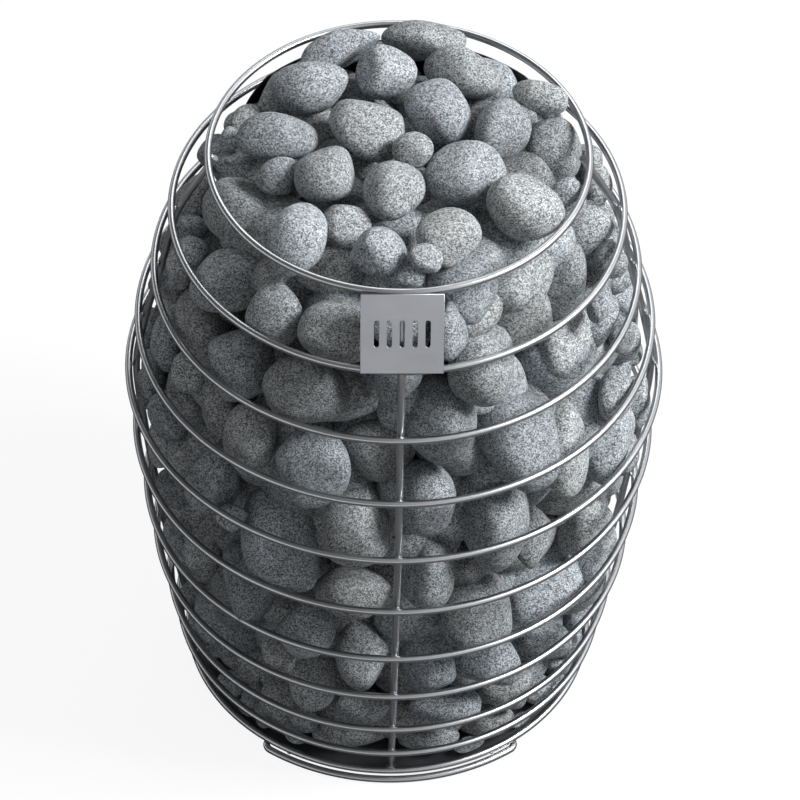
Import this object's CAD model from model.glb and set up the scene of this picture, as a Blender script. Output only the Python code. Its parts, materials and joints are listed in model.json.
"""Dresses the egg-shaped sauna heater: satin wire cage, sheet plate and rough speckled stones."""

import json
import math

import bmesh
import bpy
import numpy as np
from bpy.props import FloatProperty, FloatVectorProperty, IntProperty, PointerProperty
from mathutils import Matrix, Vector

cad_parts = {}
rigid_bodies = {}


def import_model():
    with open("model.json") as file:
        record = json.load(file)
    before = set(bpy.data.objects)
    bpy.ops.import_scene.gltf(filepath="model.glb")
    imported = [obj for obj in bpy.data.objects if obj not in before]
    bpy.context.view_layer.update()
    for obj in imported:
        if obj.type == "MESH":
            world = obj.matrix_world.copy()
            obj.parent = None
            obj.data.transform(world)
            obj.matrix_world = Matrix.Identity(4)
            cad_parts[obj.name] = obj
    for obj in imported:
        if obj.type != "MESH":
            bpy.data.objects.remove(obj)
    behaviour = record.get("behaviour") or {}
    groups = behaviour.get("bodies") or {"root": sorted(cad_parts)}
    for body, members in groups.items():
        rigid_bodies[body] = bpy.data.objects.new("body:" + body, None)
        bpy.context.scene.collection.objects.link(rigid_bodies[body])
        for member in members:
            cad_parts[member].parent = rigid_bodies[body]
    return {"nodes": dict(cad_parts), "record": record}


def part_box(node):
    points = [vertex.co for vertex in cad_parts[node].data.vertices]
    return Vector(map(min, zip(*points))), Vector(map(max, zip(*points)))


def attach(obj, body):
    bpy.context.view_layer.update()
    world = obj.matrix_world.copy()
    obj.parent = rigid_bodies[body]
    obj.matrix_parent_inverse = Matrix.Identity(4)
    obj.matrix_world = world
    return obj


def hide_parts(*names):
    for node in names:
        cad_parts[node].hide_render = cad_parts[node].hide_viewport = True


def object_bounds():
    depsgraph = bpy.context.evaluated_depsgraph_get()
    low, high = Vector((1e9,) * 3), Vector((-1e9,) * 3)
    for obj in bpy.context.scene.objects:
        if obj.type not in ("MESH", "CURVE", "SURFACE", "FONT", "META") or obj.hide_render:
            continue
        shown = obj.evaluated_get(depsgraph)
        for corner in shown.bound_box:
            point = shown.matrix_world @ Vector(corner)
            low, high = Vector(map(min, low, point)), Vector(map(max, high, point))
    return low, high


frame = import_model()
CAD_LOW, CAD_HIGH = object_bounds()

bl_info = {
    "name": "Egg-shaped sauna heater",
    "version": (1, 0, 0),
    "blender": (4, 5, 0),
    "location": "3D View > Sidebar > Heater",
    "description": "Wire cage, plate and stones of an electric sauna heater",
    "category": "Add Mesh",
}

MM = 0.001
BODY = "heater"

# The photograph's camera: a long lens, well above the heater and rolled a little
PHOTO_SIZE = 800
CAMERA_ELEVATION = math.radians(46.8)
CAMERA_AZIMUTH = math.radians(2.0)
CAMERA_ROLL = math.radians(1.41)
CAMERA_DISTANCE = 5.0
CAMERA_PIXELS_PER_METRE = 1213.3
CAMERA_TARGET = Vector((0.0, 0.0, 0.283))
TARGET_PIXEL = (393.0, 399.2)
SENSOR_WIDTH = 36.0


def linear(hex_colour):
    """An sRGB hex colour as linear red, green, blue and alpha."""
    parts = [int(hex_colour[i:i + 2], 16) / 255 for i in (0, 2, 4)]
    return [p / 12.92 if p <= 0.04045 else ((p + 0.055) / 1.055) ** 2.4 for p in parts] + [1.0]


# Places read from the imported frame

RING_NODES = sorted(name for name in frame["nodes"] if name.startswith("cage_ring_"))
CROWN_NODES = sorted(name for name in frame["nodes"] if name.startswith("crown_stone_"))
COURSE_NODES = sorted(name for name in frame["nodes"] if name.startswith("stone_course_"))
SIDES = {"right": 0, "rear": 90, "left": 180, "front": 270}


def extent(node):
    low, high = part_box(node)
    return high - low


def middle(node):
    low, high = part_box(node)
    return (low + high) / 2


WIRE = extent("upright_front").x
CLEARANCE = 0.3 * MM
RING_PROFILE = [(extent(node).x / 2 - WIRE / 2, middle(node).z) for node in RING_NODES]
MOUTH_RADIUS, MOUTH_HEIGHT = RING_PROFILE[0]
BASE_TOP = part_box("base_plate")[1].z
UPRIGHT_INSET = WIRE + CLEARANCE


class HeaterSizes(bpy.types.PropertyGroup):
    """Sizes that only change how the heater looks."""

    wire_facets: IntProperty(
        name="Wire facets", description="Sides of a wire's round section", default=14, min=6)
    ring_points: IntProperty(
        name="Ring points", description="Steps round one ring of the cage", default=144, min=24)
    bead_radius: FloatProperty(
        name="Weld bead", description="Radius of a spot weld between ring and upright",
        default=2.3 * MM, unit="LENGTH", subtype="DISTANCE")
    plate_edge: FloatProperty(
        name="Plate edge", description="Rounding of the front plate's cut edges",
        default=0.3 * MM, unit="LENGTH", subtype="DISTANCE")
    ring_inset: FloatProperty(
        name="Ring inset",
        description="Distance from the rings' centre-line to the stones between uprights",
        default=4.0 * MM, unit="LENGTH", subtype="DISTANCE")
    stone_inset: FloatProperty(
        name="Stone inset", description="The same beside an upright",
        default=9.9 * MM, unit="LENGTH", subtype="DISTANCE")
    rear_stone_inset: FloatProperty(
        name="Rear stone inset", description="The same in front of the heat shield",
        default=11.5 * MM, unit="LENGTH", subtype="DISTANCE")
    crown_height: FloatProperty(
        name="Crown height", description="Rise of the heap of stones above the mouth",
        default=CAD_HIGH.z - MOUTH_HEIGHT, unit="LENGTH", subtype="DISTANCE")
    stone_lump: FloatProperty(
        name="Stone lumps", description="Depth of the broad dents in a stone",
        default=2.0 * MM, unit="LENGTH", subtype="DISTANCE")
    stone_grain: FloatProperty(
        name="Stone grain", description="Depth of the worn surface's small pits",
        default=0.15 * MM, unit="LENGTH", subtype="DISTANCE")


class HeaterColours(bpy.types.PropertyGroup):
    """Colours of the heater's finishes."""

    wire: FloatVectorProperty(
        name="Cage wire", description="Drawn stainless wire", subtype="COLOR", size=4,
        default=linear("b4b6b9"))
    plate: FloatVectorProperty(
        name="Front plate", description="Flat stainless sheet", subtype="COLOR", size=4,
        default=linear("a6a8ad"))
    shield: FloatVectorProperty(
        name="Heat shield", description="Heat-dulled stainless sheet", subtype="COLOR", size=4,
        default=linear("5a5b5e"))
    stone: FloatVectorProperty(
        name="Stone", description="Middle grey of the speckled stone", subtype="COLOR", size=4,
        default=linear("95989c"))
    dark_grain: FloatVectorProperty(
        name="Dark grains", description="Dark minerals in the stone", subtype="COLOR", size=4,
        default=linear("585c5f"))
    light_grain: FloatVectorProperty(
        name="Light grains", description="Pale minerals in the stone", subtype="COLOR", size=4,
        default=linear("c4c8ca"))


# Node trees

def add(tree, kind, inputs=None, **settings):
    """Adds one node, with its settings, and its inputs as values or as sockets to link from."""
    made = tree.nodes.new(kind)
    for name, value in settings.items():
        setattr(made, name, value)
    for key, value in (inputs or {}).items():
        if isinstance(value, bpy.types.NodeSocket):
            tree.links.new(value, made.inputs[key])
        else:
            made.inputs[key].default_value = value
    return made


def geometry_tree(name, sockets):
    """An empty Geometry Nodes tree with a geometry in and out and the named inputs."""
    tree = bpy.data.node_groups.new(name, "GeometryNodeTree")
    tree.interface.new_socket("Geometry", in_out="INPUT", socket_type="NodeSocketGeometry")
    for label, kind in sockets.items():
        tree.interface.new_socket(label, in_out="INPUT", socket_type=kind)
    tree.interface.new_socket("Geometry", in_out="OUTPUT", socket_type="NodeSocketGeometry")
    return tree, add(tree, "NodeGroupInput")


def close_tree(tree, geometry, material):
    """Ends a tree with real, smooth geometry in one material."""
    real = add(tree, "GeometryNodeRealizeInstances", {"Geometry": geometry})
    smooth = add(tree, "GeometryNodeSetShadeSmooth", {"Geometry": real.outputs[0]})
    coloured = add(tree, "GeometryNodeSetMaterial", {
        "Geometry": smooth.outputs[0], "Material": material})
    add(tree, "NodeGroupOutput", {0: coloured.outputs[0]})
    return tree


def wire_tree():
    """Draws a round wire along the edges of a mesh."""
    tree, given = geometry_tree("Drawn wire", {
        "Radius": "NodeSocketFloat", "Facets": "NodeSocketInt", "Material": "NodeSocketMaterial"})
    path = add(tree, "GeometryNodeMeshToCurve", {"Mesh": given.outputs["Geometry"]})
    section = add(tree, "GeometryNodeCurvePrimitiveCircle", {
        "Resolution": given.outputs["Facets"], "Radius": given.outputs["Radius"]})
    tube = add(tree, "GeometryNodeCurveToMesh", {
        "Curve": path.outputs[0], "Profile Curve": section.outputs[0], "Fill Caps": True})
    return close_tree(tree, tube.outputs[0], given.outputs["Material"])


def bead_tree():
    """Sets one flattened spot weld on each point of a mesh."""
    tree, given = geometry_tree("Spot welds", {
        "Radius": "NodeSocketFloat", "Material": "NodeSocketMaterial"})
    bead = add(tree, "GeometryNodeMeshIcoSphere", {"Radius": given.outputs["Radius"], "Subdivisions": 3})
    spread = add(tree, "GeometryNodeInstanceOnPoints", {
        "Points": given.outputs["Geometry"], "Instance": bead.outputs["Mesh"],
        "Scale": (1.0, 1.0, 0.75)})
    return close_tree(tree, spread.outputs[0], given.outputs["Material"])


def heap_tree():
    """Lays a rounded stone on each point of a mesh, at the point's own size and turn."""
    tree, given = geometry_tree("Stone heap", {
        "Kinds": "NodeSocketCollection", "Lumps": "NodeSocketFloat", "Grain": "NodeSocketFloat",
        "Material": "NodeSocketMaterial"})
    kinds = add(tree, "GeometryNodeCollectionInfo", {
        "Collection": given.outputs["Kinds"], "Separate Children": True, "Reset Children": True})
    kind = add(tree, "GeometryNodeInputNamedAttribute", {"Name": "stone_kind"}, data_type="INT")
    turn = add(tree, "GeometryNodeInputNamedAttribute", {"Name": "stone_turn"}, data_type="FLOAT_VECTOR")
    half = add(tree, "GeometryNodeInputNamedAttribute", {"Name": "stone_half"}, data_type="FLOAT_VECTOR")
    rotation = add(tree, "FunctionNodeEulerToRotation", {0: turn.outputs[0]})
    laid = add(tree, "GeometryNodeInstanceOnPoints", {
        "Points": given.outputs["Geometry"], "Instance": kinds.outputs[0], "Pick Instance": True,
        "Instance Index": kind.outputs[0], "Rotation": rotation.outputs[0], "Scale": half.outputs[0]})
    real = add(tree, "GeometryNodeRealizeInstances", {"Geometry": laid.outputs[0]})
    normal = add(tree, "GeometryNodeInputNormal")
    depth = None
    for scale, detail, amount in ((38.0, 2.0, "Lumps"), (240.0, 4.0, "Grain")):
        noise = add(tree, "ShaderNodeTexNoise", {"Scale": scale, "Detail": detail, "Roughness": 0.6})
        dent = add(tree, "ShaderNodeMath", {0: noise.outputs[0], 1: 0.62}, operation="SUBTRACT")
        layer = add(tree, "ShaderNodeMath", {
            0: dent.outputs[0], 1: given.outputs[amount]}, operation="MULTIPLY")
        if depth is None:
            depth = layer
        else:
            depth = add(tree, "ShaderNodeMath", {
                0: depth.outputs[0], 1: layer.outputs[0]}, operation="ADD")
    offset = add(tree, "ShaderNodeVectorMath", {
        0: normal.outputs[0], "Scale": depth.outputs[0]}, operation="SCALE")
    rough = add(tree, "GeometryNodeSetPosition", {
        "Geometry": real.outputs[0], "Offset": offset.outputs[0]})
    return close_tree(tree, rough.outputs[0], given.outputs["Material"])


def show(name, mesh):
    """A new object in the scene, at the origin."""
    piece = bpy.data.objects.new(name, mesh)
    bpy.context.scene.collection.objects.link(piece)
    return piece


def grow(name, carrier, tree, values):
    """A plain mesh piece made by a Geometry Nodes tree from its carrier mesh."""
    piece = show(name, carrier)
    modifier = piece.modifiers.new(tree.name, "NODES")
    modifier.node_group = tree
    inputs = [item for item in tree.interface.items_tree if item.in_out == "INPUT"]
    sockets = {item.name: item.identifier for item in inputs}
    for label, value in values.items():
        modifier[sockets[label]] = value
    depsgraph = bpy.context.evaluated_depsgraph_get()
    made = bpy.data.meshes.new_from_object(piece.evaluated_get(depsgraph), depsgraph=depsgraph)
    piece.modifiers.clear()
    piece.data = made
    made.name = name
    bpy.data.meshes.remove(carrier)
    return piece


def carrier_mesh(points, closed=None):
    """Points, joined by edges unless closed is None."""
    count = len(points)
    edges = []
    if closed is not None:
        edges = [(i, i + 1) for i in range(count - 1)]
        if closed:
            edges.append((count - 1, 0))
    mesh = bpy.data.meshes.new("carrier")
    mesh.from_pydata([tuple(p) for p in points], edges, [])
    return mesh


def settle(piece, slot, *nodes, body=BODY):
    """Rides a finished piece on its body and lets it stand for its solids."""
    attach(piece, body)
    if nodes:
        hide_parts(*nodes)
    return piece


# Materials

def new_material(name):
    material = bpy.data.materials.get(name)
    if material:
        return material, None, None, None
    material = bpy.data.materials.new(name)
    material.use_nodes = True
    tree = material.node_tree
    shader = tree.nodes["Principled BSDF"]
    place = add(tree, "ShaderNodeTexCoord").outputs["Object"]
    return material, tree, shader, place


def tinted(tree, colour, factor, low, high):
    """A colour made darker or lighter by a factor from 0 to 1."""
    level = add(tree, "ShaderNodeMapRange", {"Value": factor, "To Min": low, "To Max": high})
    grey = add(tree, "ShaderNodeCombineColor", {channel: level.outputs[0] for channel in range(3)})
    mixed = add(tree, "ShaderNodeMix", {0: 1.0, 6: colour, 7: grey.outputs[0]},
                data_type="RGBA", blend_type="MULTIPLY")
    return mixed.outputs[2]


def satin_stainless(name, colour, roughness, stretch):
    """Stainless steel drawn or rolled through a die: a satin sheen with fine lines along the work."""
    material, tree, shader, place = new_material(name)
    if tree is None:
        return material
    lines_per_metre = 900.0
    mapped = add(tree, "ShaderNodeMapping", {"Vector": place, "Scale": stretch})
    lines = add(tree, "ShaderNodeTexNoise", {
        "Vector": mapped.outputs[0], "Scale": lines_per_metre, "Detail": 3.0, "Roughness": 0.6})
    cloud = add(tree, "ShaderNodeTexNoise", {"Vector": place, "Scale": 24.0, "Detail": 3.0})
    tree.links.new(tinted(tree, colour, cloud.outputs[0], 0.82, 1.12), shader.inputs["Base Color"])
    shine = add(tree, "ShaderNodeMapRange", {
        "Value": lines.outputs[0], "To Min": roughness - 0.08, "To Max": roughness + 0.1})
    tree.links.new(shine.outputs[0], shader.inputs["Roughness"])
    bump = add(tree, "ShaderNodeBump", {
        "Height": lines.outputs[0], "Strength": 0.12, "Distance": 0.05 * MM})
    tree.links.new(bump.outputs[0], shader.inputs["Normal"])
    shader.inputs["Metallic"].default_value = 1.0
    return material


def speckled_stone(colours):
    """Tumbled igneous stone: a salt-and-pepper grain about a millimetre across, in each stone's own tone."""
    material, tree, shader, place = new_material("Tumbled speckled stone")
    if tree is None:
        return material
    grain_size = 0.9 * MM
    tone = add(tree, "ShaderNodeAttribute", attribute_name="stone_tone").outputs["Fac"]
    hue = add(tree, "ShaderNodeAttribute", attribute_name="stone_hue").outputs["Fac"]
    cells = add(tree, "ShaderNodeTexVoronoi", {
        "Vector": place, "Scale": 1 / grain_size, "Randomness": 1.0}, feature="F1")
    chance = add(tree, "ShaderNodeSeparateColor", {0: cells.outputs["Color"]})
    blotch = add(tree, "ShaderNodeTexNoise", {
        "Vector": place, "Scale": 130.0, "Detail": 5.0, "Roughness": 0.65})
    broad = add(tree, "ShaderNodeTexNoise", {"Vector": place, "Scale": 34.0, "Detail": 3.0})
    mix_up = add(tree, "ShaderNodeMath", {0: blotch.outputs[0], 1: 0.5}, operation="SUBTRACT")
    sway = add(tree, "ShaderNodeMath", {0: mix_up.outputs[0], 1: 0.55}, operation="MULTIPLY")
    pick = add(tree, "ShaderNodeMath", {0: chance.outputs[0], 1: sway.outputs[0]}, operation="ADD")
    ramp = add(tree, "ShaderNodeValToRGB", {0: pick.outputs[0]})
    stops = ((0.0, colours.dark_grain), (0.26, colours.dark_grain), (0.36, colours.stone),
             (0.68, colours.stone), (0.8, colours.light_grain))
    while len(ramp.color_ramp.elements) < len(stops):
        ramp.color_ramp.elements.new(0.5)
    for element, (position, colour) in zip(ramp.color_ramp.elements, stops):
        element.position = position
        element.color = colour
    toned = tinted(tree, ramp.outputs[0], tone, 0.66, 1.12)
    patchy = tinted(tree, toned, broad.outputs[0], 0.8, 1.2)
    warm, cool = linear("eeeeeb"), linear("e8edf1")
    cast = add(tree, "ShaderNodeMix", {0: hue, 6: warm, 7: cool}, data_type="RGBA")
    final = add(tree, "ShaderNodeMix", {0: 1.0, 6: patchy, 7: cast.outputs[2]},
                data_type="RGBA", blend_type="MULTIPLY")
    tree.links.new(final.outputs[2], shader.inputs["Base Color"])
    dull = add(tree, "ShaderNodeMapRange", {"Value": chance.outputs[1], "To Min": 0.6, "To Max": 0.95})
    tree.links.new(dull.outputs[0], shader.inputs["Roughness"])
    fine = add(tree, "ShaderNodeTexNoise", {
        "Vector": place, "Scale": 900.0, "Detail": 4.0, "Roughness": 0.6})
    bump = add(tree, "ShaderNodeBump", {
        "Height": fine.outputs[0], "Strength": 0.4, "Distance": 0.3 * MM})
    tree.links.new(bump.outputs[0], shader.inputs["Normal"])
    return material


def moulded(name, colour, roughness, speck):
    """Moulded nylon or fired steatite: an even colour with a faint mottle and a fine surface grain."""
    material, tree, shader, place = new_material(name)
    if tree is None:
        return material
    mottle = add(tree, "ShaderNodeTexNoise", {"Vector": place, "Scale": speck, "Detail": 4.0})
    tree.links.new(tinted(tree, colour, mottle.outputs[0], 0.88, 1.1), shader.inputs["Base Color"])
    bump = add(tree, "ShaderNodeBump", {
        "Height": mottle.outputs[0], "Strength": 0.2, "Distance": 0.1 * MM})
    tree.links.new(bump.outputs[0], shader.inputs["Normal"])
    shader.inputs["Roughness"].default_value = roughness
    return material


# Curves and sections

def smooth_line(points, steps):
    """A smooth line through points, with so many steps between each two."""
    points = np.asarray(points, float)
    padded = np.vstack([points[0], points, points[-1]])
    line = []
    for i in range(1, len(padded) - 2):
        a, b, c, d = padded[i - 1:i + 3]
        for t in np.arange(steps) / steps:
            line.append(0.5 * (2 * b + (c - a) * t + (2 * a - 5 * b + 4 * c - d) * t ** 2
                               + (3 * b - a - 3 * c + d) * t ** 3))
    return np.array(line + [points[-1]])


def inset_profile(inset):
    """The rings' radius and height moved inwards, square to the cage's side."""
    profile = np.array(RING_PROFILE)
    along = np.gradient(profile, axis=0)
    along /= np.linalg.norm(along, axis=1)[:, None]
    return profile + inset * np.stack([along[:, 1], -along[:, 0]], axis=1)


def round_points(radius, height, count):
    angles = np.arange(count) * 2 * np.pi / count
    return np.stack([radius * np.cos(angles), radius * np.sin(angles), np.full(count, height)], axis=1)


def arc(centre, radius, start, end, height, count):
    angles = np.radians(np.linspace(start, end, count))
    return [(centre[0] + radius * math.cos(a), centre[1] + radius * math.sin(a), height) for a in angles]


def turned_about_z(points, degrees):
    turn = np.array(Matrix.Rotation(math.radians(degrees), 3, "Z"))
    return np.asarray(points, float) @ turn.T


# Stones seen in the photograph, in its 800 by 800 pixels:
# middle across, middle down, half width, half height, and tilt in degrees clockwise

BACK_STONES = [
    (424, 36, 42, 20, 5), (338, 47, 42, 19, -27), (273, 80, 32, 22, -30), (500, 63, 34, 25, 25),
    (409, 90, 21, 13, -10), (540, 97, 28, 16, 10), (243, 122, 26, 20, 0),
]
MOUTH_STONES = [
    (553, 152, 28, 33, -15), (278, 176, 21, 19, 0), (236, 169, 22, 18, 0), (250, 215, 48, 34, 20),
    (297, 240, 28, 37, 25), (346, 227, 25, 22, 0), (493, 248, 38, 30, 25), (333, 274, 36, 24, 0),
    (402, 272, 23, 18, 0), (461, 286, 35, 30, 30), (566, 200, 20, 22, 0), (524, 208, 38, 31, 40),
    (413, 150, 20, 18, 0), (427, 260, 16, 14, 0),
]

WALL_STONES = [
    (598, 186, 16, 26, 0), (589, 233, 27, 32, 0), (560, 280, 26, 40, 15), (519, 314, 33, 33, 0),
    (232, 285, 37, 35, 30), (274, 312, 28, 33, 0), (336, 331, 37, 31, 0), (202, 326, 27, 40, -20),
    (243, 365, 34, 36, 0), (306, 388, 42, 34, -5), (365, 435, 33, 44, 0), (313, 467, 37, 40, 0),
    (222, 410, 20, 30, 0), (250, 438, 27, 36, 0), (190, 372, 19, 22, 0), (183, 402, 18, 18, 0),
    (166, 342, 16, 30, 0), (212, 479, 28, 36, 0), (165, 440, 18, 28, 0), (172, 264, 14, 19, 0),
    (608, 272, 27, 25, 0), (592, 316, 30, 30, -30), (553, 366, 41, 34, -20), (483, 364, 33, 40, 20),
    (441, 420, 35, 46, -10), (518, 440, 40, 53, -15), (567, 448, 22, 50, 0), (605, 430, 30, 55, 0),
    (625, 344, 24, 48, 15), (640, 402, 16, 28, 0), (450, 330, 18, 30, 0), (398, 372, 24, 34, 0),
    (281, 540, 40, 55, -15), (358, 522, 35, 45, 0), (353, 592, 38, 27, 5), (252, 580, 27, 43, -10),
    (306, 628, 30, 31, 0), (362, 654, 27, 37, 0), (228, 617, 35, 42, 0), (312, 678, 24, 35, 0),
    (279, 651, 18, 22, 0), (285, 698, 26, 33, 0), (362, 708, 28, 18, 0), (204, 520, 24, 25, 0),
    (203, 553, 20, 28, 0), (350, 738, 40, 20, 0), (429, 500, 26, 36, 0), (492, 517, 37, 55, 0),
    (429, 572, 27, 38, 0), (530, 536, 22, 33, 0), (476, 610, 36, 40, 0), (544, 588, 40, 38, 0),
    (583, 527, 30, 30, 0), (428, 655, 28, 38, 0), (488, 656, 34, 30, 0), (545, 640, 28, 20, 0),
    (445, 706, 37, 20, 0), (505, 688, 28, 22, 0), (488, 728, 30, 20, 0), (430, 742, 32, 16, 0),
    (590, 565, 18, 20, 0), (538, 700, 22, 16, 0), (196, 196, 22, 22, 0), (192, 228, 16, 14, 0),
    (192, 252, 18, 16, 0), (175, 289, 15, 15, 0), (149, 283, 12, 18, 0), (150, 335, 13, 28, 0),
    (151, 388, 15, 22, 0), (186, 450, 19, 28, 0), (176, 488, 20, 22, 0), (232, 518, 16, 14, 0),
    (168, 535, 14, 28, 0), (190, 592, 18, 16, 0), (240, 652, 22, 22, 0), (233, 685, 17, 14, 0),
    (211, 641, 14, 24, 0), (257, 694, 16, 14, 0), (302, 722, 14, 12, 0), (268, 722, 18, 13, 0),
    (567, 668, 18, 20, 0), (573, 648, 16, 16, 0), (589, 612, 18, 24, 0), (592, 649, 14, 20, 0),
]

SMALLEST_HALF = 12 * MM
STONE_NESTLING = 3 * MM
STONE_DEPTH_SHARE = 0.85
HIDDEN_HALF = np.array((36, 32, 28)) * MM
HIDDEN_ROW_PITCH = 50 * MM
HIDDEN_ROW_COUNT = 22
HIDDEN_CLOSENESS = 0.82
SEEN_SECTOR = math.radians(63)
FRONT_HEAP = ((0.0, 1.0), (0.62, 1.0), (0.93, 0.72))
BACK_HEAP = ((0.0, 1.0), (0.85, 1.0), (1.0, 0.9))
RIM_ROW_HALF = np.array((28, 17, 19)) * MM
RIM_ROW_COUNT = 25
RIM_ROW_ANGLES = (15.0, 165.0)
RIM_ROW_DROP = 12 * MM
FOOT_ROW_HALF = np.array((32, 15, 15)) * MM
FOOT_ROW_COUNT = 60
ROW_SHARES = (1.0, 0.8, 0.6, 0.45)
ROW_NESTLING = 5 * MM
BASE_STONE_COUNT = 18
CORE_INSET = 42 * MM
SIDE_CORE_INSET = 22 * MM
ROCK_KINDS = 14
FINE_SUBDIVISIONS = 5
COARSE_SUBDIVISIONS = 4
COARSE_BELOW = 24 * MM


def camera_axes():
    """The photograph camera's right, up and backward directions."""
    level = Vector((math.cos(CAMERA_AZIMUTH), -math.sin(CAMERA_AZIMUTH), 0.0))
    outward = Vector((-math.sin(CAMERA_AZIMUTH), -math.cos(CAMERA_AZIMUTH), 0.0))
    back = outward * math.cos(CAMERA_ELEVATION) + Vector((0.0, 0.0, math.sin(CAMERA_ELEVATION)))
    upright = back.cross(level)
    right = level * math.cos(CAMERA_ROLL) + upright * math.sin(CAMERA_ROLL)
    up = upright * math.cos(CAMERA_ROLL) - level * math.sin(CAMERA_ROLL)
    return right, up, back


def pixel_ray(across, down):
    """Start and direction of the ray through a pixel of the photograph."""
    right, up, back = camera_axes()
    focal = CAMERA_PIXELS_PER_METRE * CAMERA_DISTANCE
    aim = right * (across - TARGET_PIXEL[0]) - up * (down - TARGET_PIXEL[1]) - back * focal
    return CAMERA_TARGET + back * CAMERA_DISTANCE, aim.normalized()


def chance(seed):
    """A number from 0 to 1 that looks random, the same for the same seed."""
    wave = math.sin(seed * 127.1 + 311.7) * 43758.5453
    return wave - math.floor(wave)


class StoneSpace:
    """The room inside the cage, as straight walls round its section in radius and height."""

    def __init__(self, inset, crown_height, heap=FRONT_HEAP, wider=None):
        self.wider = wider
        side = smooth_line(inset_profile(inset), 4)
        rim = MOUTH_RADIUS - inset
        dome = [(share * rim, MOUTH_HEIGHT + rise * crown_height) for share, rise in heap]
        floor = [(side[-1][0], BASE_TOP + MM), (0.0, BASE_TOP + MM)]
        side = side[side[:, 1] > BASE_TOP + 3 * MM]
        outline = np.vstack([dome, side, floor])
        self.starts = outline[:-1]
        self.runs = np.diff(outline, axis=0)
        self.lengths = np.linalg.norm(self.runs, axis=1)
        self.normals = np.stack([-self.runs[:, 1], self.runs[:, 0]], axis=1) / self.lengths[:, None]

    def nearest_wall(self, point):
        """How deep a point lies inside, and the outward direction of the wall nearest to it."""
        reach = math.hypot(point.x, point.y)
        away = np.array([reach, point.z]) - self.starts
        share = np.clip((away * self.runs).sum(axis=1) / self.lengths ** 2, 0.0, 1.0)
        distances = np.linalg.norm(away - self.runs * share[:, None], axis=1)
        index = int(distances.argmin())
        out, rise = self.normals[index]
        depth = math.copysign(distances[index], -float(away[index] @ self.normals[index]))
        off_axis = reach > 1e-6
        radial = Vector((point.x, point.y, 0.0)).normalized() if off_axis else Vector((0.0, -1.0, 0.0))
        return depth, radial * float(out) + Vector((0.0, 0.0, float(rise)))

    def beside(self, point, axes, halves):
        """The room for a stone there: the wider one if it is clear of the uprights and the shield."""
        around = Vector((-point.y, point.x, 0.0)).normalized()
        width = support(axes, halves, around) + WIRE
        to_upright = min(abs(point.x), abs(point.y))
        by_shield = point.y + 2 * width > abs(point.x)
        return self if self.wider is None or to_upright < width or by_shield else self.wider

    def settled(self, point, axes, halves):
        """Where a stone comes to rest against the cage."""
        close = self.pushed_in(point, axes, halves)
        return self.beside(close, axes, halves).pushed_in(point, axes, halves)

    def pushed_in(self, point, axes, halves):
        """The point moved inwards until a stone of that size touches the wall from inside."""
        for _ in range(8):
            depth, normal = self.nearest_wall(point)
            lack = support(axes, halves, normal) - depth
            if lack <= 0.1 * MM:
                break
            point = point - normal * lack
        return point


def support(axes, halves, direction):
    """How far an ellipsoid with these axes and half sizes reaches in a direction."""
    return math.sqrt(sum((half * axis.dot(direction)) ** 2 for axis, half in zip(axes, halves)))


class Stone:
    """One stone: where it lies, its axes and half sizes, its kind and its tone."""

    def __init__(self, centre, axes, halves, dice):
        self.centre = centre
        self.halves = halves
        self.spread = np.array([axis * half for axis, half in zip(axes, halves)])
        self.coarse = sum(halves) / 3 < COARSE_BELOW
        self.kind = int(dice.integers(ROCK_KINDS))
        self.tone = float(dice.uniform(0.15, 1.0))
        self.hue = float(dice.uniform(0.0, 1.0))
        flips = (1, 1, 1), (1, -1, -1), (-1, 1, -1), (-1, -1, 1)
        signs = flips[int(dice.integers(len(flips)))]
        basis = Matrix([axis * sign for axis, sign in zip(axes, signs)]).transposed()
        self.turn = basis.to_euler("XYZ")


def overlap(point, spread, places, spreads):
    """How deep a stone sinks into those already laid."""
    if not len(places):
        return 0.0
    apart = places - np.array(point)
    distances = np.linalg.norm(apart, axis=1)
    apart /= distances[:, None]
    own = np.linalg.norm(apart @ spread.T, axis=1)
    others = np.linalg.norm(np.einsum("nij,nj->ni", spreads, apart), axis=1)
    return max(0.0, float((own + others - distances).max()))


def seen_stone(space, outline, laid, dice):
    """A stone whose outline in the photograph is known, laid against the inside of the cage,
    or further back along the line of sight where another stone is in its way."""
    across, down, half_width, half_height, tilt = outline
    right, up, back = camera_axes()
    lean = math.radians(tilt)
    wide = right * math.cos(lean) - up * math.sin(lean)
    tall = right * math.sin(lean) + up * math.cos(lean)
    halves = [max(SMALLEST_HALF, pixels / CAMERA_PIXELS_PER_METRE)
              for pixels in (half_width, half_height)]
    halves.append(STONE_DEPTH_SHARE * math.sqrt(halves[0] * halves[1]))
    axes = (wide, tall, back)
    spread = np.array([axis * half for axis, half in zip(axes, halves)])
    places = np.array([stone.centre for stone in laid])
    spreads = np.array([stone.spread for stone in laid])
    start, aim = pixel_ray(across, down)
    best, least = None, 1e9
    for step in np.arange(CAMERA_DISTANCE - 0.45, CAMERA_DISTANCE + 0.2, 2.5 * MM):
        point = start + aim * float(step)
        depth, normal = space.beside(point, axes, halves).nearest_wall(point)
        cost = max(0.0, support(axes, halves, normal) - depth)
        if cost < least:
            cost += max(0.0, overlap(point, spread, places, spreads) - STONE_NESTLING)
        if cost < least:
            best, least = point, cost
        if least == 0.0:
            break
    return Stone(space.settled(best, axes, halves), axes, halves, dice)


def seen_stones(space, outlines, in_the_way, dice):
    """The larger stones are whole in the photograph, so they lie in front and are laid first."""
    laid = list(in_the_way)
    for outline in sorted(outlines, key=lambda outline: -outline[2] * outline[3]):
        laid.append(seen_stone(space, outline, laid, dice))
    return laid[len(in_the_way):]


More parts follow.
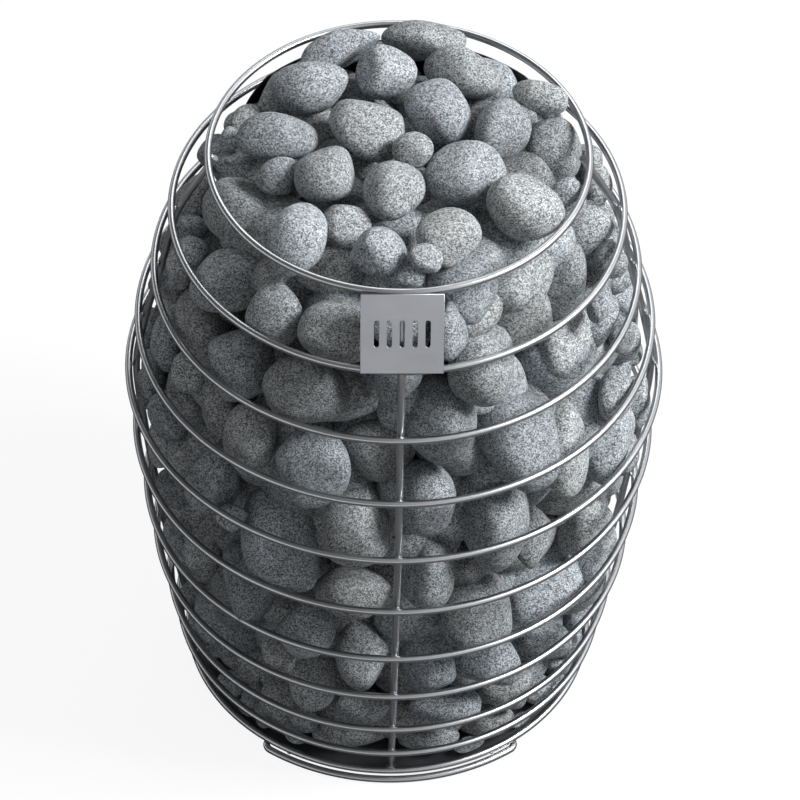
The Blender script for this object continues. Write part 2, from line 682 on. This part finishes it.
def crown_stone(node, dice):
    """A loose stone in the space of its solid, turned as the solid is."""
    corners = np.array([vertex.co for vertex in frame["nodes"][node].data.vertices])
    spread = np.cov(corners[:, :2].T)
    turn = 0.5 * math.atan2(2 * spread[0, 1], spread[0, 0] - spread[1, 1])
    wide = Vector((math.cos(turn), math.sin(turn), 0.0))
    deep = Vector((-wide.y, wide.x, 0.0))
    up = Vector((0.0, 0.0, 1.0))
    centre = Vector(((corners.min(axis=0) + corners.max(axis=0)) / 2).tolist())
    away = corners - np.array(centre)
    halves = [float(np.abs(away @ np.array(axis)).max()) for axis in (wide, deep, up)]
    return Stone(centre, (wide, deep, up), halves, dice)


def drawn_halves(half, seed):
    """Half sizes near the given ones, always the same for the same seed."""
    shifts = (0, 0.3, 0.6)
    return [float(size) * (0.75 + 0.4 * chance(seed + shift)) for size, shift in zip(half, shifts)]


def wall_stone(space, angle, height, halves, lean, dice, reach=2 * MOUTH_RADIUS):
    """A stone against the cage's side at an angle and a height, pushed in from a reach off the axis."""
    out = Vector((math.cos(angle), math.sin(angle), 0.0))
    side = Vector((-out.y, out.x, 0.0))
    up = Vector((0.0, 0.0, 1.0))
    wide = side * math.cos(lean) + up * math.sin(lean)
    tall = up * math.cos(lean) - side * math.sin(lean)
    axes = (wide, tall, out)
    point = out * reach
    point.z = height
    return Stone(space.settled(point, axes, halves), axes, halves, dice)


def sinks_in(stone, others):
    """How deep a stone sinks into any of the others."""
    places = np.array([other.centre for other in others])
    return overlap(stone.centre, stone.spread, places, np.array([other.spread for other in others]))


def rock_mesh(name, subdivisions, dice):
    """A tumbled rock that fills a box of half size 1: a few flat faces with well-worn edges."""
    faces, edge_sharpness = 9, 7
    directions = dice.normal(size=(faces, 3))
    directions /= np.linalg.norm(directions, axis=1)[:, None]
    distances = dice.uniform(0.62, 1.0, faces)
    ball = bmesh.new()
    bmesh.ops.create_icosphere(ball, subdivisions=subdivisions, radius=1.0)
    rays = np.array([vertex.co for vertex in ball.verts])
    facing = np.clip(rays @ directions.T, 1e-3, None)
    reach = distances / facing
    size = ((reach ** -edge_sharpness).sum(axis=1) + 1.0) ** (-1 / edge_sharpness)
    points = rays * size[:, None]
    low, high = points.min(axis=0), points.max(axis=0)
    for vertex, point in zip(ball.verts, (2 * points - low - high) / (high - low)):
        vertex.co = point
    mesh = bpy.data.meshes.new(name)
    ball.to_mesh(mesh)
    ball.free()
    return mesh


def rock_collection(name, seed):
    """The kinds of rock that a heap picks from, fine and then coarse. It stays out of the scene."""
    dice = np.random.default_rng(seed)
    kinds = bpy.data.collections.new(name)
    for index in range(2 * ROCK_KINDS):
        subdivisions = FINE_SUBDIVISIONS if index < ROCK_KINDS else COARSE_SUBDIVISIONS
        mesh = rock_mesh(f"{name}_{index:02d}", subdivisions, dice)
        kinds.objects.link(bpy.data.objects.new(mesh.name, mesh))
    return kinds


def discard(collection):
    for rock in list(collection.objects):
        mesh = rock.data
        bpy.data.objects.remove(rock)
        bpy.data.meshes.remove(mesh)
    bpy.data.collections.remove(collection)


def heap(name, stones, kinds, tree):
    """One piece made of stones."""
    sizes = bpy.context.scene.heater_sizes
    carrier = carrier_mesh([stone.centre for stone in stones])
    facts = {
        "stone_kind": ("INT", "value", [stone.kind + ROCK_KINDS * stone.coarse for stone in stones]),
        "stone_tone": ("FLOAT", "value", [stone.tone for stone in stones]),
        "stone_hue": ("FLOAT", "value", [stone.hue for stone in stones]),
        "stone_turn": ("FLOAT_VECTOR", "vector", [x for stone in stones for x in stone.turn]),
        "stone_half": ("FLOAT_VECTOR", "vector", [x for stone in stones for x in stone.halves]),
    }
    for label, (kind, field, values) in facts.items():
        carrier.attributes.new(label, kind, "POINT").data.foreach_set(field, values)
    return grow(name, carrier, tree, {
        "Kinds": kinds, "Lumps": sizes.stone_lump, "Grain": sizes.stone_grain,
        "Material": speckled_stone(bpy.context.scene.heater_colours)})


def far_enough(stone, others, share):
    """Whether a stone leaves room for the ones already laid."""
    return all((stone.centre - other.centre).length
               > share * (sum(stone.halves) + sum(other.halves)) / 3 for other in others)


class HEATER_OT_stage(bpy.types.Operator):
    """Makes the pale floor, the studio lights and the photograph's camera"""

    bl_idname = "heater.stage"
    bl_label = "Stage"

    def execute(self, context):
        self.make_camera(context)
        self.make_floor()
        self.make_world(context)
        self.make_light("key_light", (2.6, -0.55, 2.8), 1.2, 218.0)
        self.make_light("fill_light", (-2.2, -1.6, 1.7), 1.8, 3.0)
        self.make_light("back_light", (0.5, 2.2, 2.3), 1.4, 20.0)
        return {"FINISHED"}

    def make_camera(self, context):
        right, up, back = camera_axes()
        data = bpy.data.cameras.new("photo_camera")
        data.sensor_width = SENSOR_WIDTH
        data.lens = CAMERA_PIXELS_PER_METRE * CAMERA_DISTANCE / PHOTO_SIZE * SENSOR_WIDTH
        data.shift_x = (PHOTO_SIZE / 2 - TARGET_PIXEL[0]) / PHOTO_SIZE
        data.shift_y = (TARGET_PIXEL[1] - PHOTO_SIZE / 2) / PHOTO_SIZE
        camera = bpy.data.objects.new("photo_camera", data)
        context.scene.collection.objects.link(camera)
        turn = Matrix((right, up, back)).transposed().to_4x4()
        camera.matrix_world = Matrix.Translation(CAMERA_TARGET + back * CAMERA_DISTANCE) @ turn
        context.scene.camera = camera

    def make_floor(self):
        half = 6.0
        mesh = bpy.data.meshes.new("floor")
        corners = [(-half, -half), (half, -half), (half, half), (-half, half)]
        mesh.from_pydata([(x, y, -0.2 * MM) for x, y in corners], [], [(0, 1, 2, 3)])
        floor = show("floor", mesh)
        material = bpy.data.materials.new("White paper floor")
        material.use_nodes = True
        tree = material.node_tree
        paper = tree.nodes["Principled BSDF"]
        paper.inputs["Base Color"].default_value = linear("f4f4f4")
        paper.inputs["Roughness"].default_value = 0.9
        dim = add(tree, "ShaderNodeBsdfDiffuse", {"Color": linear("606060")})
        white = add(tree, "ShaderNodeEmission", {"Color": (1.0, 1.0, 1.0, 1.0), "Strength": 1.0})
        shown = add(tree, "ShaderNodeMixShader", {0: 0.9, 1: paper.outputs[0], 2: white.outputs[0]})
        seen = add(tree, "ShaderNodeLightPath").outputs["Is Camera Ray"]
        mixed = add(tree, "ShaderNodeMixShader", {0: seen, 1: dim.outputs[0], 2: shown.outputs[0]})
        tree.links.new(mixed.outputs[0], tree.nodes["Material Output"].inputs["Surface"])
        mesh.materials.append(material)

    def mirrored_room(self, tree):
        """What the metal mirrors: a dark room with a pale horizon and a bright wall at the right."""
        toward = add(tree, "ShaderNodeTexCoord").outputs["Generated"]
        parts = add(tree, "ShaderNodeSeparateXYZ", {0: toward})
        wall = add(tree, "ShaderNodeMapRange", {
            "Value": parts.outputs["X"],
            "From Min": -0.3, "From Max": 0.8, "To Min": 0.1, "To Max": 1.0})
        horizon = add(tree, "ShaderNodeMapRange", {
            "Value": parts.outputs["Z"],
            "From Min": 0.2, "From Max": 0.45, "To Min": 1.3, "To Max": 0.0})
        return add(tree, "ShaderNodeMath", {
            0: wall.outputs[0], 1: horizon.outputs[0]}, operation="MAXIMUM")

    def make_world(self, context):
        """White to the camera, a room to the metal, and a soft light from all round to the stones."""
        world = bpy.data.worlds.new("studio")
        context.scene.world = world
        world.use_nodes = True
        tree = world.node_tree
        path = add(tree, "ShaderNodeLightPath")
        room = add(tree, "ShaderNodeMix", {
            0: path.outputs["Is Glossy Ray"], 2: 0.33, 3: self.mirrored_room(tree).outputs[0]})
        level = add(tree, "ShaderNodeMix", {
            0: path.outputs["Is Camera Ray"], 2: room.outputs[0], 3: 1.0})
        backdrop = tree.nodes["Background"]
        tree.links.new(level.outputs[0], backdrop.inputs["Strength"])
        backdrop.inputs["Color"].default_value = (1.0, 1.0, 1.0, 1.0)

    def make_light(self, name, place, size, power):
        data = bpy.data.lights.new(name, "AREA")
        data.size = size
        data.energy = power
        light = bpy.data.objects.new(name, data)
        bpy.context.scene.collection.objects.link(light)
        light.location = place
        light.rotation_euler = (CAMERA_TARGET - Vector(place)).to_track_quat("-Z", "Y").to_euler()


class HEATER_OT_cage_wires(bpy.types.Operator):
    """Draws the rings, uprights and foot loops in round wire, and welds them"""

    bl_idname = "heater.cage_wires"
    bl_label = "Cage wires"

    def execute(self, context):
        self.sizes = context.scene.heater_sizes
        self.steel = satin_stainless(
            "Satin drawn stainless wire", context.scene.heater_colours.wire, 0.3, (1.0, 1.0, 0.25))
        self.tree = wire_tree()
        for node, (radius, height) in zip(RING_NODES, RING_PROFILE):
            points = round_points(radius, height, self.sizes.ring_points)
            self.wire(node.replace("cage", "wire"), points, True, node)
        profile = smooth_line(self.upright_knots(), 6)
        flat = np.stack([profile[:, 0], np.zeros(len(profile)), profile[:, 1]], axis=1)
        for side, degrees in SIDES.items():
            self.wire(f"wire_upright_{side}", turned_about_z(flat, degrees), False, f"upright_{side}")
        for side, degrees in (("front", 0), ("rear", 180)):
            loop = turned_about_z(self.foot_path(), degrees)
            self.wire(f"wire_foot_{side}", loop, True, f"foot_loop_{side}")
        self.weld()
        return {"FINISHED"}

    def wire(self, name, points, closed, node):
        piece = grow(name, carrier_mesh(points, closed), self.tree, {
            "Radius": WIRE / 2, "Facets": self.sizes.wire_facets, "Material": self.steel})
        settle(piece, "cage_wire", node)

    def upright_knots(self):
        knots = inset_profile(UPRIGHT_INSET)
        foot = knots[-1] + (knots[-1] - knots[-2]) * (WIRE / 2 / np.linalg.norm(knots[-1] - knots[-2]))
        return np.vstack([knots, foot])

    def foot_path(self):
        """Down the outer arc and back along the inner one, with a hairpin at each end."""
        outer = RING_PROFILE[-1][0] + 4.5 * MM
        width = 14 * MM
        inner = outer - width
        spread = 35.5
        front = 270.0
        height = WIRE / 2
        points = arc((0, 0), outer, front - spread, front + spread, height, 48)
        for side, last in ((1, False), (-1, True)):
            angle = front + side * spread
            bend = ((inner + width / 2) * math.cos(math.radians(angle)),
                    (inner + width / 2) * math.sin(math.radians(angle)))
            if last:
                points += arc((0, 0), inner, front + spread, front - spread, height, 48)
                points += arc(bend, width / 2, angle + 180, angle + 360, height, 12)[1:-1]
            else:
                points += arc(bend, width / 2, angle, angle + 180, height, 12)[1:-1]
        return points

    def weld(self):
        outside = np.array(RING_PROFILE)
        inside = inset_profile(UPRIGHT_INSET)
        seams = (outside + inside) / 2
        points = []
        for degrees in SIDES.values():
            flat = np.stack([seams[:, 0], np.zeros(len(seams)), seams[:, 1]], axis=1)
            points += list(turned_about_z(flat, degrees))
        radius, height = RING_PROFILE[-1]
        for degrees in (240, 300, 60, 120):
            points += list(turned_about_z([(radius, 0.0, height - WIRE / 2)], degrees))
        beads = grow("weld_beads", carrier_mesh(points), bead_tree(), {
            "Radius": self.sizes.bead_radius, "Material": self.steel})
        settle(beads, "cage_wire")


class HEATER_OT_front_plate(bpy.types.Operator):
    """Cuts the square front plate with its plain slots and lays it across the two upper rings"""

    bl_idname = "heater.front_plate"
    bl_label = "Front plate"

    def execute(self, context):
        sizes = context.scene.heater_sizes
        side = extent("front_plate").x
        sheet = 2 * MM
        slot_count, slot_width, slot_length, slot_pitch = 5, 4 * MM, 22 * MM, 10 * MM
        curve = bpy.data.curves.new("plate_outline", "CURVE")
        curve.dimensions = "2D"
        curve.fill_mode = "BOTH"
        curve.extrude = sheet / 2 - sizes.plate_edge
        curve.bevel_depth = sizes.plate_edge
        curve.bevel_resolution = 2
        edge = sizes.plate_edge
        half = side / 2 - edge
        self.outline(curve, [(-half, edge - side), (half, edge - side), (half, -edge), (-half, -edge)])
        for index in range(slot_count):
            x = (index - (slot_count - 1) / 2) * slot_pitch
            reach = slot_length / 2 - slot_width / 2
            radius = slot_width / 2 + edge
            top = arc((x, reach - side / 2), radius, 0, 180, 0, 13)
            bottom = arc((x, -reach - side / 2), radius, 180, 360, 0, 13)
            self.outline(curve, [(p[0], p[1]) for p in top + bottom])
        flat = bpy.data.objects.new("plate_outline", curve)
        context.scene.collection.objects.link(flat)
        depsgraph = context.evaluated_depsgraph_get()
        mesh = bpy.data.meshes.new_from_object(flat.evaluated_get(depsgraph), depsgraph=depsgraph)
        bpy.data.objects.remove(flat)
        (upper, high), (lower, low) = RING_PROFILE[:2]
        lean = math.atan2(high - low, lower - upper)
        stand = WIRE / 2 + CLEARANCE
        place = Matrix.Translation((
            0.0, -upper - stand * math.sin(lean), high + stand * math.cos(lean)))
        mesh.transform(place @ Matrix.Rotation(lean, 4, "X") @ Matrix.Translation((0, 0, sheet / 2)))
        mesh.materials.clear()
        mesh.materials.append(satin_stainless(
            "Satin stainless sheet", context.scene.heater_colours.plate, 0.42, (0.06, 1.0, 1.0)))
        settle(show("plate_front", mesh), "plate_steel", "front_plate")
        return {"FINISHED"}

    def outline(self, curve, points):
        spline = curve.splines.new("POLY")
        spline.points.add(len(points) - 1)
        for place, (x, y) in zip(spline.points, points):
            place.co = (x, y, 0.0, 1.0)
        spline.use_cyclic_u = True


class HEATER_OT_heat_shield(bpy.types.Operator):
    """Rolls the curved sheet behind the stones at the back"""

    bl_idname = "heater.heat_shield"
    bl_label = "Heat shield"

    def execute(self, context):
        low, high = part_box("rear_heat_shield")
        sheet = 1 * MM
        outside = smooth_line(inset_profile(UPRIGHT_INSET + WIRE / 2 + CLEARANCE), 8)[::-1]
        rows, columns = 24, 48
        heights = np.linspace(low.z, high.z, rows)
        radii = np.interp(heights, outside[:, 1], outside[:, 0])
        angles = np.radians(np.linspace(45, 135, columns))
        points = [(r * math.cos(a), r * math.sin(a), z) for z, r in zip(heights, radii) for a in angles]
        faces = [(i * columns + j, i * columns + j + 1, (i + 1) * columns + j + 1, (i + 1) * columns + j)
                 for i in range(rows - 1) for j in range(columns - 1)]
        mesh = bpy.data.meshes.new("heat_shield_sheet")
        mesh.from_pydata(points, [], faces)
        mesh.shade_smooth()
        mesh.materials.append(satin_stainless(
            "Heat-dulled stainless sheet", context.scene.heater_colours.shield, 0.45, (1.0, 1.0, 0.08)))
        piece = show("heat_shield_sheet", mesh)
        wall = piece.modifiers.new("sheet", "SOLIDIFY")
        wall.thickness = sheet
        wall.offset = -1.0
        settle(piece, "shield_steel", "rear_heat_shield")
        return {"FINISHED"}


class HEATER_OT_wall_stones(bpy.types.Operator):
    """Lays the stones that show through the cage, and those behind them"""

    bl_idname = "heater.wall_stones"
    bl_label = "Wall stones"

    def execute(self, context):
        sizes = context.scene.heater_sizes
        dice = np.random.default_rng(41)
        by_rings = StoneSpace(sizes.ring_inset, sizes.crown_height)
        front = StoneSpace(sizes.stone_inset, sizes.crown_height, wider=by_rings)
        rear = StoneSpace(sizes.rear_stone_inset, sizes.crown_height, wider=by_rings)
        crown = [crown_stone(node, dice) for node in CROWN_NODES]
        heaped = StoneSpace(sizes.rear_stone_inset, sizes.crown_height, BACK_HEAP)
        mouth = seen_stones(heaped, BACK_STONES, crown, dice)
        mouth += seen_stones(front, MOUTH_STONES, crown + mouth, dice)
        mouth += self.rim_row(heaped, crown + mouth, dice)
        wall = seen_stones(front, WALL_STONES, [], dice)
        self.add_foot_row(front, rear, wall, dice)
        self.add_hidden_side(front, rear, wall, dice)
        hidden = self.inner_stones(dice)
        under = self.bed_stones(dice)
        for stone in hidden + under:
            stone.coarse = True
        bed = mouth + under
        tree = heap_tree()
        kinds = rock_collection("rock", 7)
        self.heap_courses(wall, hidden, kinds, tree)
        settle(heap("bed_stones", bed, kinds, tree), "granite_stone", "stone_bed")
        discard(kinds)
        return {"FINISHED"}

    def rim_row(self, space, others, dice):
        """Stones in front of the heat shield, just under the mouth, where the others leave room."""
        stones = []
        for step, angle in enumerate(np.radians(np.linspace(*RIM_ROW_ANGLES, RIM_ROW_COUNT))):
            for share in ROW_SHARES:
                halves = [half * share for half in drawn_halves(RIM_ROW_HALF, step)]
                height = MOUTH_HEIGHT - RIM_ROW_DROP
                stone = wall_stone(space, float(angle), height, halves, 0.0, dice, MOUTH_RADIUS)
                if sinks_in(stone, others + stones) < ROW_NESTLING:
                    stones.append(stone)
                    break
        return stones

    def add_foot_row(self, front, rear, wall, dice):
        """Adds low stones in the corner behind the lowest ring, where the others leave room."""
        for step in range(FOOT_ROW_COUNT):
            angle = step * 2 * math.pi / FOOT_ROW_COUNT
            space = rear if math.sin(angle) > 0 else front
            for share in ROW_SHARES:
                halves = [half * share for half in drawn_halves(FOOT_ROW_HALF, step)]
                height = BASE_TOP + halves[1] + MM
                stone = wall_stone(space, angle, height, halves, 0.0, dice, RING_PROFILE[-1][0])
                if sinks_in(stone, wall) < ROW_NESTLING:
                    wall.append(stone)
                    break

    def add_hidden_side(self, front, rear, wall, dice):
        """Adds stones on the sides and the back, which the photograph hides."""
        for row in range(math.floor((MOUTH_HEIGHT - BASE_TOP) / HIDDEN_ROW_PITCH)):
            for step in range(HIDDEN_ROW_COUNT):
                seed = row * HIDDEN_ROW_COUNT + step
                turn = (step + 0.5 * (row % 2) + 0.4 * chance(seed + 0.2)) / HIDDEN_ROW_COUNT
                angle = turn * 2 * math.pi
                height = BASE_TOP + (row + 0.5 + 0.2 * chance(seed + 0.5)) * HIDDEN_ROW_PITCH
                if -math.sin(angle) > math.cos(SEEN_SECTOR):
                    continue
                space = rear if math.sin(angle) > 0 else front
                lean = chance(seed + 0.9) - 0.5
                for share in ROW_SHARES:
                    halves = [half * share for half in drawn_halves(HIDDEN_HALF, seed)]
                    stone = wall_stone(space, angle, height, halves, lean, dice)
                    if far_enough(stone, wall, HIDDEN_CLOSENESS):
                        wall.append(stone)
                        break

    def inner_stones(self, dice):
        """The layer behind the outer stones, which shows only in the gaps."""
        deep = StoneSpace(CORE_INSET, 0.0)
        shallow = StoneSpace(SIDE_CORE_INSET, 0.0)
        stones = []
        for level, height in enumerate(np.arange(0.045, MOUTH_HEIGHT - 0.06, 0.052)):
            for step in range(13):
                angle = (step + 0.5 * (level % 2)) * 2 * math.pi / 13
                halves = [float(x) for x in dice.uniform(0.9, 1.1, 3) * (0.036, 0.032, 0.028)]
                lean = float(dice.uniform(-0.5, 0.5))
                space = shallow if abs(math.cos(angle)) > 0.75 else deep
                stones.append(wall_stone(space, angle, float(height), halves, lean, dice))
        for step in range(BASE_STONE_COUNT):
            angle = (step + 0.65) * 2 * math.pi / BASE_STONE_COUNT
            reach = RING_PROFILE[-1][0]
            halves = [0.032, 0.02, 0.022]
            stones.append(wall_stone(shallow, angle, BASE_TOP + 0.02, halves, 0.0, dice, reach))
        return stones

    def bed_stones(self, dice):
        """The layer under the loose stones."""
        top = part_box(CROWN_NODES[0])[0].z
        stones = []
        for radius, count, drop in ((0.0, 1, 0.0), (0.05, 6, 0.0), (0.1, 11, 0.0), (0.12, 15, 0.02)):
            for step in range(count):
                angle = (step + 0.25) * 2 * math.pi / count
                halves = [float(x) for x in dice.uniform(0.9, 1.1, 3) * (0.031, 0.029, 0.022)]
                out = Vector((math.cos(angle), math.sin(angle), 0.0))
                axes = (Vector((-out.y, out.x, 0.0)), out, Vector((0.0, 0.0, 1.0)))
                axes = (axes[0], -axes[1], axes[2])
                centre = out * radius + Vector((0.0, 0.0, top - halves[2] - drop))
                stones.append(Stone(centre, axes, halves, dice))
        return stones

    def heap_courses(self, wall, hidden, kinds, tree):
        """One piece for the outer stones of each course, and one for all the hidden ones."""
        bounds = [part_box(node)[1].z for node in COURSE_NODES[:-1]] + [1e9]
        lower = -1e9
        for node, upper in zip(COURSE_NODES, bounds):
            members = [stone for stone in wall if lower <= stone.centre.z < upper]
            settle(heap(f"{node}_rocks", members, kinds, tree), "granite_stone", node)
            lower = upper
        settle(heap("inner_rocks", hidden, kinds, tree), "granite_stone")


class HEATER_OT_crown_stones(bpy.types.Operator):
    """Lays the loose stones that lift out of the mouth"""

    bl_idname = "heater.crown_stones"
    bl_label = "Loose stones"

    def execute(self, context):
        dice = np.random.default_rng(23)
        tree = heap_tree()
        kinds = rock_collection("crown_rock", 9)
        for node in CROWN_NODES:
            piece = heap(f"{node}_rock", [crown_stone(node, dice)], kinds, tree)
            settle(piece, "granite_stone", node, body=node)
        discard(kinds)
        return {"FINISHED"}


class HEATER_OT_inner_parts(bpy.types.Operator):
    """Gives the hidden sheet, elements and fittings their finishes"""

    bl_idname = "heater.inner_parts"
    bl_label = "Inner parts"

    def execute(self, context):
        sheet = satin_stainless("Mill-finish stainless sheet", linear("93969a"), 0.4, (0.1, 1.0, 1.0))
        bright = satin_stainless("Plain stainless fastener", linear("c2c4c6"), 0.3, (1.0, 1.0, 1.0))
        sheath = satin_stainless("Heat-browned element sheath", linear("5b544d"), 0.5, (1.0, 1.0, 0.1))
        nylon = moulded("Moulded nylon", linear("232426"), 0.55, 400.0)
        steatite = moulded("Fired steatite", linear("e4dfd4"), 0.6, 250.0)
        finishes = {
            "sheet_steel": sheet, "fastener_steel": bright, "element_sheath": sheath,
            "gland_plastic": nylon, "terminal_ceramic": steatite}
        for row in frame["record"]["subparts"]:
            finish = finishes.get(row["material_slot"])
            if finish is not None:
                mesh = frame["nodes"][row["node"]].data
                mesh.materials.clear()
                mesh.materials.append(finish)
        return {"FINISHED"}


OPERATORS = (
    HEATER_OT_stage, HEATER_OT_cage_wires, HEATER_OT_front_plate, HEATER_OT_heat_shield,
    HEATER_OT_wall_stones, HEATER_OT_crown_stones, HEATER_OT_inner_parts,
)


class HEATER_PT_panel(bpy.types.Panel):
    """Lists the heater's pieces in the sidebar"""

    bl_idname = "HEATER_PT_panel"
    bl_label = "Sauna heater"
    bl_space_type = "VIEW_3D"
    bl_region_type = "UI"
    bl_category = "Heater"

    def draw(self, context):
        for group in (context.scene.heater_sizes, context.scene.heater_colours):
            for name in group.bl_rna.properties.keys():
                if name not in ("rna_type", "name"):
                    self.layout.prop(group, name)
        for operator in OPERATORS:
            self.layout.operator(operator.bl_idname)


CLASSES = (HeaterSizes, HeaterColours, *OPERATORS, HEATER_PT_panel)


def register():
    for each in CLASSES:
        bpy.utils.register_class(each)
    bpy.types.Scene.heater_sizes = PointerProperty(type=HeaterSizes)
    bpy.types.Scene.heater_colours = PointerProperty(type=HeaterColours)


def unregister():
    del bpy.types.Scene.heater_colours
    del bpy.types.Scene.heater_sizes
    for each in reversed(CLASSES):
        bpy.utils.unregister_class(each)


def main():
    register()
    bpy.context.scene.view_settings.view_transform = "Standard"
    bpy.ops.heater.stage()
    bpy.ops.heater.cage_wires()
    bpy.ops.heater.front_plate()
    bpy.ops.heater.heat_shield()
    bpy.ops.heater.wall_stones()
    bpy.ops.heater.crown_stones()
    bpy.ops.heater.inner_parts()


if __name__ == "__main__":
    main()
